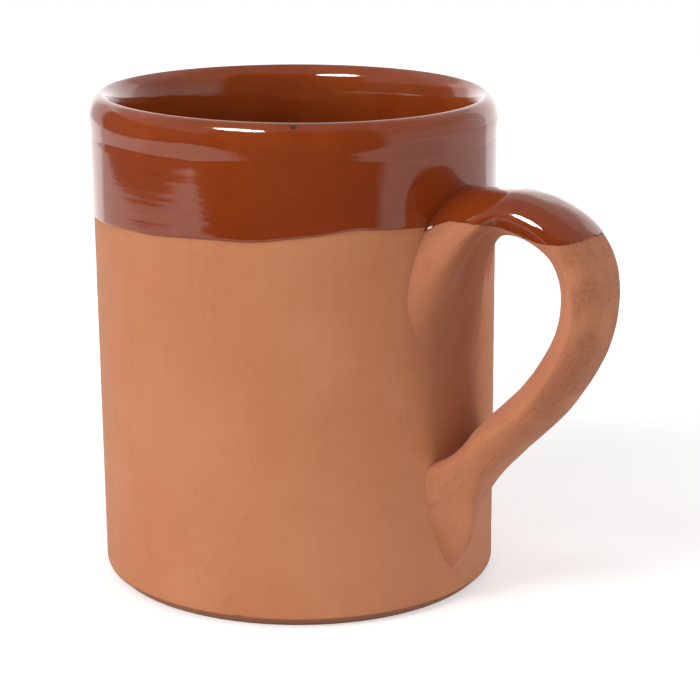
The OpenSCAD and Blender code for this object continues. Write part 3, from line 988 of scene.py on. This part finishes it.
def aside(azimuth):  # unit vector from the mug towards an azimuth, 0 along -Y
    a = math.radians(azimuth)
    return Vector((math.sin(a), -math.cos(a), 0))


def makeCamera():
    s = shot
    towards, right = aside(s["azimuth"]), aside(s["azimuth"] + 90)
    place = towards * s["far"] * mm + Vector((0, 0, s["high"] * mm))
    level = math.cos(s["pitch"])
    ahead = -towards * (math.cos(s["yaw"]) * level) + right * (math.sin(s["yaw"]) * level)
    ahead = ahead + Vector((0, 0, -math.sin(s["pitch"])))
    side = right * math.cos(s["yaw"]) + towards * math.sin(s["yaw"])
    up = side.cross(ahead)
    c, d = math.cos(s["roll"]), math.sin(s["roll"])
    side, up = side * c + up * d, up * c - side * d
    data = bpy.data.cameras.new("photoCamera")
    data.sensor_width = s["sensor"]
    data.lens = s["focal"] / s["pixels"] * s["sensor"]
    data.clip_start, data.clip_end = 0.02, 20
    camera = linkObject("photoCamera", data)
    turned = Matrix((side, up, -ahead)).transposed().to_4x4()
    camera.matrix_world = Matrix.Translation(place) @ turned
    scene.camera = camera


makeCamera()
print("camera set")

studio = {
    "floorRadius": 0.9, "floorSides": 96, "floorFront": 0.28, "floorLeft": 0.42,
    "floorTone": 0.80, "floorLift": 0.48,
    "whiteAt": (0.10, 0.34), "whiteLift": 0.25,  # farther off the floor fades into the white behind
    "glossFront": 0.10, "glossSide": 0.34, "glossBack": 0.85, "glossAt": (0.2, -0.2),  # what gloss sees of it
    "front": 0.05, "side": 0.75, "rear": 1.1, "back": 1.9,  # brightness of the room, level with the mug
    "top": 0.35, "topMatte": 1.3, "lowLeft": 0.15, "high": 0.60, "matteShare": 0.53,
    "frontAt": (0.55, 0.70), "rearAt": (-0.2, -0.7), "backAt": (-0.62, -0.70), "backUnder": (0.42, 0.55),
    "leftAt": (0.35, 0.55), "lowAt": (0.45, 0.33), "highAt": (0.15, 0.50), "topAt": (0.72, 0.90),
    "aimZ": 0.05,
    # name, azimuth from the camera, elevation, distance, width, height, watts, what shows it
    "lamps": [("keyLamp", -38, 52, 0.75, 0.30, 0.14, 4.0, "gloss"),
              ("highLamp", -38, 52, 0.75, 0.36, 0.16, 1.1, "matte"),
              ("sideLamp", -57, 18, 0.90, 0.45, 0.45, 4.6, "matte"),
              ("fillLamp", -10, 10, 0.90, 0.50, 0.50, 0.75, "matte"),
              ("rightLamp", 66, 14, 1.0, 0.32, 0.32, 2.6, "matte")],
}


def makeFloor():
    s = studio
    towards, left = aside(shot["azimuth"]), aside(shot["azimuth"] - 90)
    ring = []
    for i in range(s["floorSides"]):  # a round table, cut straight before the camera and on the left
        spot = aside(360 * i / s["floorSides"]) * s["floorRadius"]
        spot = spot - towards * max(0, spot.dot(towards) - s["floorFront"])
        ring.append(spot - left * max(0, spot.dot(left) - s["floorLeft"]))
    mesh = bpy.data.meshes.new("paleFloor")
    mesh.from_pydata(ring, [], [list(range(s["floorSides"]))])
    floor = linkObject("paleFloor", mesh)
    material = bpy.data.materials.new("paleFloor")
    material.use_nodes = True
    tree = material.node_tree
    tree.nodes.remove(tree.nodes["Principled BSDF"])
    matte = nodeAdd(tree, "ShaderNodeBsdfDiffuse", {"Color": (s["floorTone"],) * 3 + (1,)})
    path = tree.nodes.new("ShaderNodeLightPath").outputs
    place = tree.nodes.new("ShaderNodeTexCoord").outputs["Object"]
    white = rangeAdd(tree, vectorAdd(tree, "LENGTH", place), *s["whiteAt"], 0.0, s["whiteLift"])
    lift = plus(tree, white, s["floorLift"])
    front = vectorAdd(tree, "DOT_PRODUCT", vectorAdd(tree, "NORMALIZE", place), tuple(towards))
    gloss = plus(tree, rangeAdd(tree, front, *s["glossAt"], s["glossFront"], s["glossSide"]),
                 rangeAdd(tree, front, *s["backAt"], 0.0, s["glossBack"]))
    strength = plus(tree, times(tree, path["Is Camera Ray"], lift), times(tree, path["Is Glossy Ray"], gloss))
    glow = nodeAdd(tree, "ShaderNodeEmission", {"Color": (1, 1, 1, 1), "Strength": strength})
    both = nodeAdd(tree, "ShaderNodeAddShader", {0: matte.outputs[0], 1: glow.outputs[0]})
    tree.links.new(both.outputs[0], tree.nodes["Material Output"].inputs["Surface"])
    mesh.materials.append(material)


def makeWorld():
    s = studio
    world = bpy.data.worlds.new("whiteStudio")
    world.use_nodes = True
    tree = world.node_tree
    way = tree.nodes.new("ShaderNodeTexCoord").outputs["Generated"]
    path = tree.nodes.new("ShaderNodeLightPath").outputs
    seen, matte = path["Is Camera Ray"], path["Is Diffuse Ray"]
    tilt = splitAdd(tree, way)["Z"]
    level = vectorAdd(tree, "NORMALIZE", vectorAdd(tree, "MULTIPLY", way, (1, 1, 0)))
    front = vectorAdd(tree, "DOT_PRODUCT", level, tuple(aside(shot["azimuth"])))  # -1 to 1
    left = vectorAdd(tree, "DOT_PRODUCT", level, tuple(aside(shot["azimuth"] - 90)))

    def forMatte(plain, other):  # one value for gloss and another for diffuse light
        return rangeAdd(tree, matte, 0.0, 1.0, plain, other, False)

    around = plus(tree, rangeAdd(tree, front, *s["frontAt"], s["side"], s["front"]),
                  rangeAdd(tree, front, *s["rearAt"], 0.0, s["rear"] - s["side"]))
    lowLeft = times(tree, rangeAdd(tree, left, *s["leftAt"]), rangeAdd(tree, tilt, *s["lowAt"]))
    around = times(tree, around, rangeAdd(tree, lowLeft, 0.0, 1.0, 1.0, s["lowLeft"], False))
    around = times(tree, around, rangeAdd(tree, tilt, *s["highAt"], 1.0, s["high"]))
    behind = times(tree, rangeAdd(tree, front, *s["backAt"]), rangeAdd(tree, tilt, *s["backUnder"], 1.0, 0.0))
    around = plus(tree, around, times(tree, behind, s["back"] - s["rear"]))
    overhead = rangeAdd(tree, tilt, *s["topAt"])
    around = plus(tree, times(tree, around, minus(tree, 1.0, overhead)),
                  times(tree, overhead, forMatte(s["top"], s["topMatte"])))
    around = times(tree, around, forMatte(1.0, s["matteShare"]))
    light = plus(tree, times(tree, around, minus(tree, 1.0, seen)), seen)
    tree.links.new(light, tree.nodes["Background"].inputs["Strength"])
    tree.nodes["Background"].inputs["Color"].default_value = (1, 1, 1, 1)
    scene.world = world


def makeLamps():
    for name, azimuth, elevation, far, wide, high, watts, shows in studio["lamps"]:
        e = math.radians(elevation)
        towards = aside(shot["azimuth"] + azimuth) * math.cos(e) + Vector((0, 0, math.sin(e)))
        data = bpy.data.lights.new(name, "AREA")
        data.shape = "ELLIPSE"
        data.size, data.size_y, data.energy = wide, high, watts
        lamp = linkObject(name, data)
        lamp.location = towards * far + Vector((0, 0, studio["aimZ"]))
        lamp.rotation_euler = towards.to_track_quat("Z", "Y").to_euler()
        lamp.visible_glossy, lamp.visible_diffuse = shows == "gloss", shows == "matte"


makeFloor()
makeWorld()
makeLamps()
print("studio lit")
